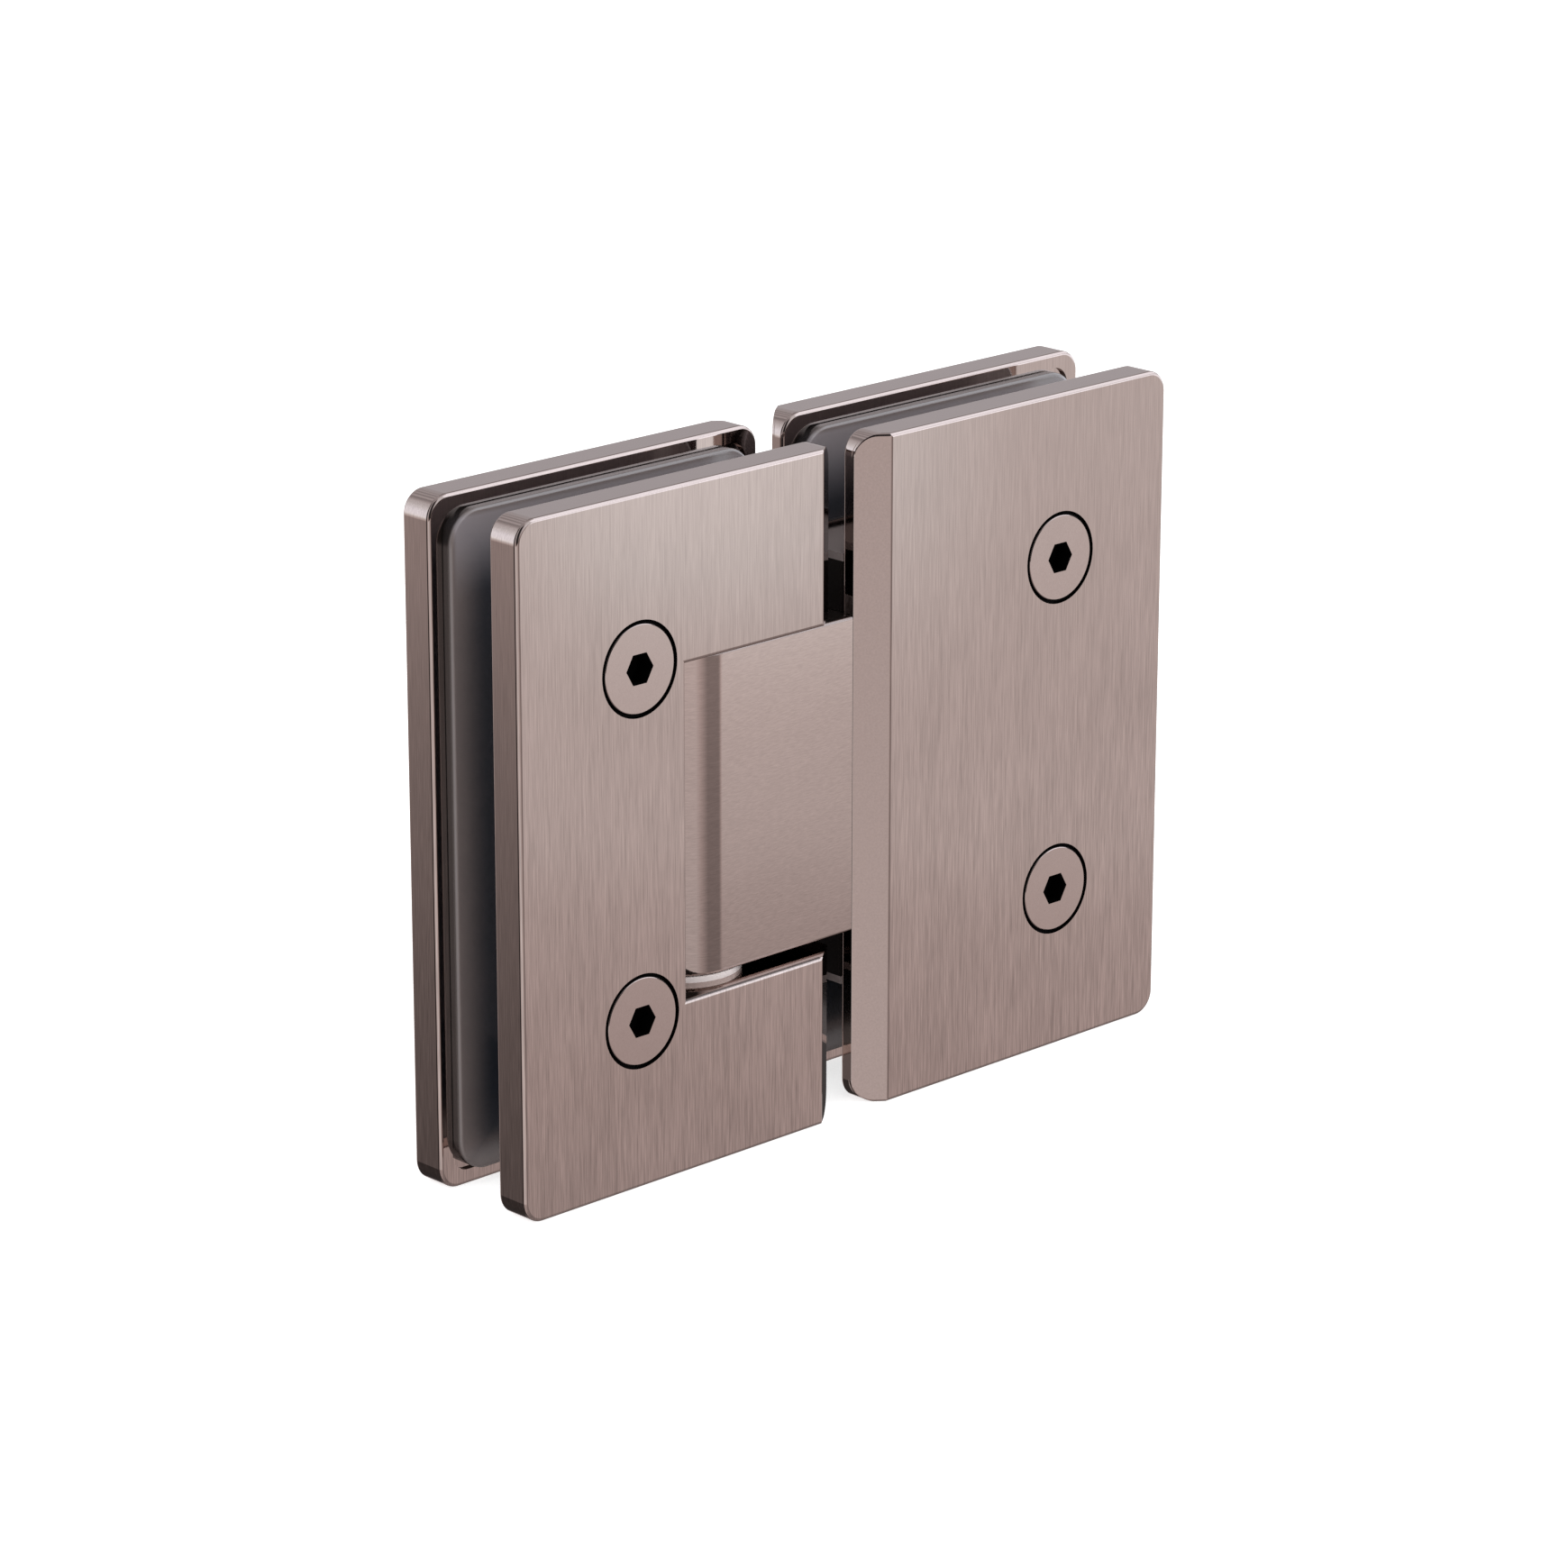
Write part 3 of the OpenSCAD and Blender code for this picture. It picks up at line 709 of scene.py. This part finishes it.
def add_floor():
    """Plain pale floor under the plates that the camera sees as white with a faint shadow."""
    material, shader = new_material("pale_floor")
    glow = seen_by_camera(shader) * SEEN_WHITE
    diffuse = shader.node("ShaderNodeBsdfDiffuse", None, {"Color": rgba(FLOOR_COLOUR)})
    white = shader.node("ShaderNodeEmission", None, {"Color": rgba(WHITE), "Strength": glow})
    both = shader.node("ShaderNodeAddShader", None, {0: diffuse, 1: white})
    shader.node("ShaderNodeOutputMaterial", None, {"Surface": both})
    half = FLOOR_SIZE / 2
    level = cad_box[0][2]
    corners = [(-half, -half), (half, -half), (half, half), (-half, half)]
    mesh = bpy.data.meshes.new("floor")
    mesh.from_pydata([(x, y, level) for x, y in corners], [], [(0, 1, 2, 3)])
    mesh.materials.append(material)
    floor = add_object(mesh)
    floor.visible_glossy = False
    floor.visible_shadow = False


def add_key_lamp():
    """Soft rectangular lamp from the upper right that looks at the origin.

    Its power is level * pi * area, which gives its face a radiance of level.
    """
    lamp = bpy.data.lights.new("key", "AREA")
    lamp.shape = "RECTANGLE"
    lamp.size, lamp.size_y = KEY_SIZE
    lamp.energy = KEY_LEVEL * np.pi * KEY_SIZE[0] * KEY_SIZE[1]
    key = add_object(lamp)
    key.location = Vector(KEY_SIDE).normalized() * KEY_DISTANCE
    key.rotation_euler = key.location.to_track_quat("Z", "Y").to_euler()
    key.visible_camera = False
    key.visible_glossy = False


def by_angle(shader, angle, half_turn, levels):
    """Level that runs linearly between angles; angle is 0 to 1 for -half_turn to half_turn."""
    stops = [((degrees + half_turn) / (2 * half_turn), level) for degrees, level in levels]
    return shader.node("ShaderNodeValToRGB", {"stops": stops}, {"Fac": angle})


def surroundings(shader):
    """Level and tint of the studio's cards by direction, as the metal reflects them.

    turn is the azimuth from -180 to 180 degrees and rise the height from -90 to 90
    degrees, both on a scale of 0 to 1. The level is the sum of weight(turn) *
    level(rise) over the cards, plus the light on top of them.
    """
    x, y, z = axes_of(shader, shader.node("ShaderNodeTexCoord", output="Generated"))
    turn = shader.math("ARCTAN2", y, x) * (0.5 / np.pi) + 0.5
    rise = shader.math("ARCSINE", z) * (1 / np.pi) + 0.5
    height = rise * 180 - 90

    def across(levels):
        return by_angle(shader, turn, 180, levels)

    level = across(EDGE_GLOW) * (1 - smooth_step(shader, height, *EDGE_GLOW_GOES))
    for weights, levels in CARDS.values():
        level = level + across(weights) * by_angle(shader, rise, 90, levels)
    level = level + across(PANEL) * smooth_step(shader, height, *PANEL_COMES)
    level = level + across(LEAN) * linear_step(shader, height, *LEAN_COMES)
    level = level + across(BANDS) * smooth_step(shader, height, *BANDS_COME)
    paleness = linear_step(shader, level, *PALE_LEVELS)
    coolness = linear_step(shader, level, *COOL_LEVELS)
    coolness = coolness + COOL_BY_HEIGHT * smooth_step(shader, height, *COOL_HEIGHTS)
    tint = mix_colour(shader, paleness, WARM, PALE)
    return level, mix_colour(shader, coolness.clamped(), tint, COOL)


def add_world():
    """Soft light all round, cards for what is glossy, and white where the camera looks.

    The soft light is AMBIENT + GLOW * the cosine of the angle to GLOW_SIDE, where that
    is positive.
    """
    world = bpy.data.worlds.new("studio")
    world.use_nodes = True
    bpy.context.scene.world = world
    shader = Shader(world.node_tree)
    glossy = shader.node("ShaderNodeLightPath", output="Is Glossy Ray")
    seen = seen_by_camera(shader)
    level, tint = surroundings(shader)
    direction = shader.node("ShaderNodeTexCoord", output="Generated")
    facing = shader.vector_math("DOT_PRODUCT", direction, GLOW_SIDE, output=1)
    ambient = AMBIENT + GLOW * facing.clamped()
    strength = ambient + glossy * (level - ambient)
    sky = shader.node("ShaderNodeBackground", None, {
        "Color": mix_colour(shader, glossy, WHITE, tint),
        "Strength": strength + seen * (1 - strength),
    })
    shader.node("ShaderNodeOutputWorld", None, {"Surface": sky})


def add_camera():
    """Camera at the photo's place and angle, whose lens gives the photo's focal length."""
    data = bpy.data.cameras.new("camera")
    data.sensor_width = SENSOR
    data.lens = SENSOR * FOCAL_PX / PHOTO_SIZE
    data.clip_start = NEAR_CLIP
    camera = add_object(data)
    camera.location = CAMERA_PLACE
    camera.rotation_euler = Euler(
        (radians(90 - CAMERA_ELEVATION), radians(CAMERA_ROLL), radians(CAMERA_AZIMUTH))
    )
    bpy.context.scene.camera = camera


finishes = dress_nodes()
for leaf in ("fixed", "door"):
    for side in ("front", "rear"):
        add_pad(leaf, side, finishes["gasket"])
add_floor()
add_world()
add_key_lamp()
add_camera()
bpy.context.scene.view_settings.view_transform = "Standard"
